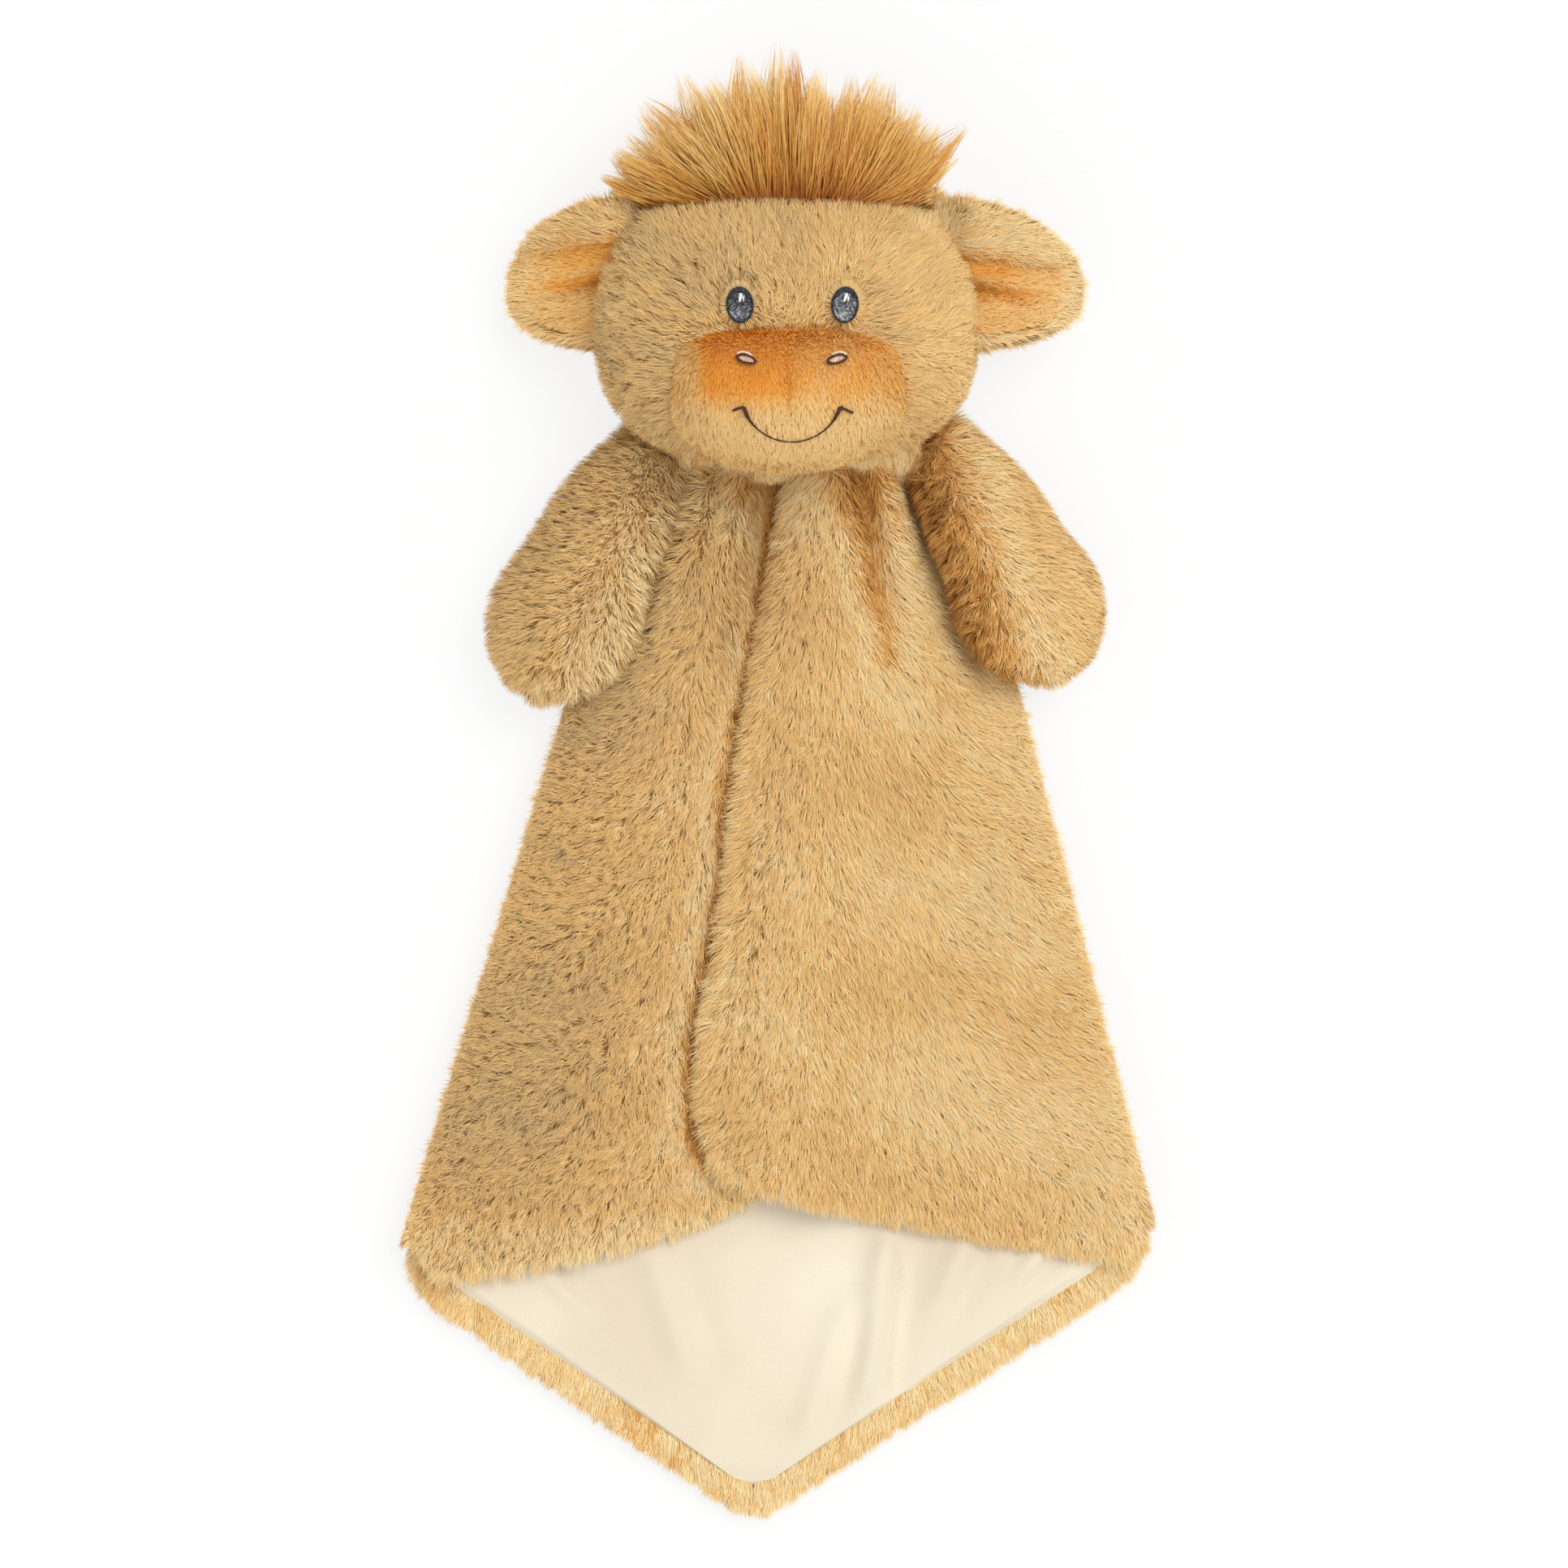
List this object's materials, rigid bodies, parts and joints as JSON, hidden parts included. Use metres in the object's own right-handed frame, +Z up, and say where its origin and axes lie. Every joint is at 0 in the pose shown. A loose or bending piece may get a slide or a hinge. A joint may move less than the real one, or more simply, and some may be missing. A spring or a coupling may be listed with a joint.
{
  "type": "plush cow comforter",
  "caption": "Baby comforter: stuffed highland cow head with hair tuft and floppy ears, two stuffed arms, and a square plush blanket gathered at the neck and folded over the front.",
  "frame": {"origin": "centre of the whole object's plan box, on the surface it lies on, under the back of the blanket", "axes": "+Y from the blanket's tip towards the head and hair, +Z up out of the face, +X to the viewer's right"},
  "size_m": [0.2052, 0.4057, 0.072],
  "materials": {
    "tan_fur": "dense short plush fur, pile about 8 mm, matte",
    "cream_lining": "smooth cream plush with a very short nap",
    "orange_plush": "short sheared pile, shaded orange",
    "long_hair": "long straight pile, orange brown, slight sheen",
    "stuffing": "loose polyester fibre",
    "dark_thread": "satin stitch, slight sheen",
    "grey_thread": "satin stitch, slight sheen",
    "white_thread": "satin stitch, slight sheen",
    "brown_thread": "satin stitch, slight sheen"
  },
  "bodies": {
    "blanket": {"blanket_back_fur": "tan_fur", "blanket_back_lining": "cream_lining", "gather_left_fur": "tan_fur", "gather_left_lining": "cream_lining", "gather_right_fur": "tan_fur", "gather_right_lining": "cream_lining"},
    "head": {"head_face_skin": "tan_fur", "head_back_skin": "tan_fur", "head_stuffing": "stuffing", "muzzle_left_panel": "orange_plush", "muzzle_right_panel": "orange_plush", "hair_tuft": "long_hair", "eye_left_outline": "dark_thread", "eye_left_iris": "grey_thread", "eye_left_highlight": "white_thread", "eye_right_outline": "dark_thread", "eye_right_iris": "grey_thread", "eye_right_highlight": "white_thread", "nostril_left_stitch": "brown_thread", "nostril_right_stitch": "brown_thread", "mouth_stitch": "brown_thread"},
    "ear_left": {"ear_left_outer": "tan_fur", "ear_left_lining": "orange_plush"},
    "ear_right": {"ear_right_outer": "tan_fur", "ear_right_lining": "orange_plush"},
    "arm_left": {"arm_left_skin": "tan_fur", "arm_left_stuffing": "stuffing"},
    "arm_right": {"arm_right_skin": "tan_fur", "arm_right_stuffing": "stuffing"},
    "flap_left": {"flap_left_fur": "tan_fur", "flap_left_lining": "cream_lining"},
    "flap_right": {"flap_right_fur": "tan_fur", "flap_right_lining": "cream_lining"}
  },
  "joints": [
    {"name": "head_nod", "type": "hinge", "parent": "blanket", "child": "head", "pos_m": [0.003, 0.086, 0.0285], "axis": [1, 0, 0], "range_deg": [0, 30]},
    {"name": "ear_left_fold", "type": "hinge", "parent": "head", "child": "ear_left", "pos_m": [-0.0493, 0.1375, 0.0295], "axis": [0.2425, 0.9701, 0], "range_deg": [-5, 60], "stiffness_Nm_per_rad": 0.02},
    {"name": "ear_right_fold", "type": "hinge", "parent": "head", "child": "ear_right", "pos_m": [0.0553, 0.1375, 0.0295], "axis": [0.2425, -0.9701, 0], "range_deg": [-20, 60], "stiffness_Nm_per_rad": 0.02},
    {"name": "arm_left_lift", "type": "hinge", "parent": "blanket", "child": "arm_left", "pos_m": [-0.0294, 0.0955, 0.027], "axis": [-0.8366, 0.5478, 0], "range_deg": [0, 45]},
    {"name": "arm_right_lift", "type": "hinge", "parent": "blanket", "child": "arm_right", "pos_m": [0.0402, 0.0964, 0.027], "axis": [-0.811, -0.585, 0], "range_deg": [0, 45]},
    {"name": "flap_right_open", "type": "hinge", "parent": "blanket", "child": "flap_right", "pos_m": [0.065, 0.025, 0.00665], "axis": [-0.2479, 0.9688, 0], "range_deg": [0, 90]},
    {"name": "flap_left_open", "type": "hinge", "parent": "blanket", "child": "flap_left", "pos_m": [-0.057, 0.02, 0.00665], "axis": [-0.297, -0.9549, 0], "range_deg": [0, 80]}
  ],
  "couplings": [
    {"joint": "flap_left_open", "follows": "flap_right_open", "ratio": 0.8}
  ]
}
